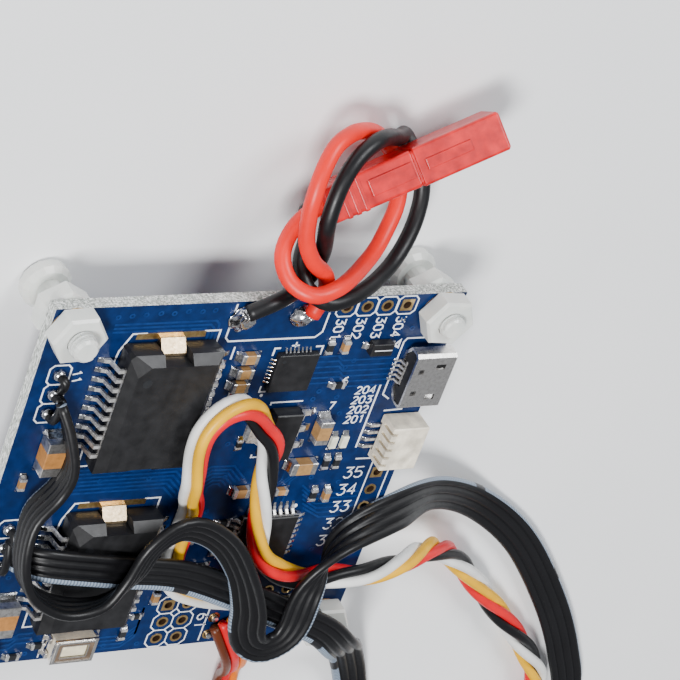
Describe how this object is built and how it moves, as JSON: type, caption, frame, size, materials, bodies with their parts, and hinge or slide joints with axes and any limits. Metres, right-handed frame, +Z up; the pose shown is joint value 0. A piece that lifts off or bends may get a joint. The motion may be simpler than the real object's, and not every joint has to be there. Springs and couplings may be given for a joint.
{
  "type": "gimbal controller board",
  "caption": "Square blue control board on nylon screws and nuts, with motor drivers, sockets, a reset button, a knotted power lead and flat motor leads.",
  "frame": {"origin": "under the centre of the board, at the height of the undersides of the four screw heads", "axes": "+Z up from the board's component side, +Y towards the power lead's solder joints, +X towards the USB socket"},
  "size_m": [0.1009, 0.1133, 0.0153],
  "materials": {
    "blue_solder_mask": "satin",
    "white_nylon": "satin",
    "black_resin": "matte",
    "tinned_copper": "bright",
    "solder": "bright",
    "plated_steel": "bright",
    "beige_plastic": "satin",
    "brown_ceramic": "satin",
    "clear_lamp_resin": "gloss",
    "red_plastic": "gloss",
    "red_silicone": "satin",
    "black_silicone": "satin",
    "black_flat_lead": "satin",
    "sensor_lead_sheath": "satin",
    "brown_lead_sheath": "satin"
  },
  "bodies": {
    "board": {"circuit_board": "blue_solder_mask", "usb_bridge_chip": "black_resin", "processor_body": "black_resin", "processor_leads": "tinned_copper", "regulator_body": "black_resin", "regulator_leads": "tinned_copper", "regulator_tab": "tinned_copper", "usb_shell": "plated_steel", "usb_insulator": "black_resin", "usb_contacts": "tinned_copper", "sensor_socket_housing": "beige_plastic", "sensor_socket_contacts": "tinned_copper", "reset_button_base": "beige_plastic", "reset_button_frame": "plated_steel", "motor_capacitor_north": "brown_ceramic", "motor_capacitor_south": "brown_ceramic", "input_capacitor_1": "brown_ceramic", "input_capacitor_2": "brown_ceramic", "input_capacitor_3": "brown_ceramic", "regulator_capacitor_east": "brown_ceramic", "regulator_capacitor_south": "brown_ceramic", "power_diode": "black_resin", "power_lamp": "clear_lamp_resin", "status_lamp": "clear_lamp_resin", "solder_joint_red": "solder", "solder_joint_black": "solder", "power_plug_housing": "red_plastic", "plug_contact_red": "tinned_copper", "plug_contact_black": "tinned_copper", "power_wire_red": "red_silicone", "power_wire_black": "black_silicone", "motor_lead_north": "black_flat_lead", "motor_lead_south": "black_flat_lead", "remote_lead": "brown_lead_sheath", "sensor_lead": "sensor_lead_sheath", "motor_plug_north": "black_resin", "motor_plug_south": "black_resin", "remote_plug": "black_resin", "sensor_plug": "beige_plastic", "screw_nw": "white_nylon", "top_nut_nw": "white_nylon", "spacer_nut_nw": "white_nylon", "screw_ne": "white_nylon", "top_nut_ne": "white_nylon", "spacer_nut_ne": "white_nylon", "screw_sw": "white_nylon", "top_nut_sw": "white_nylon", "spacer_nut_sw": "white_nylon", "screw_se": "white_nylon", "top_nut_se": "white_nylon", "spacer_nut_se": "white_nylon", "driver_north_body": "black_resin", "driver_north_slug": "tinned_copper", "driver_north_leads_west": "tinned_copper", "driver_north_leads_east": "tinned_copper", "driver_south_body": "black_resin", "driver_south_slug": "tinned_copper", "driver_south_leads_west": "tinned_copper", "driver_south_leads_east": "tinned_copper"},
    "reset_key": {"reset_button_key": "beige_plastic"}
  },
  "joints": [
    {"name": "reset_press", "type": "slide", "parent": "board", "child": "reset_key", "axis": [0, 0, -1], "range_m": [0, 0.00025], "stiffness_N_per_m": 6000}
  ]
}
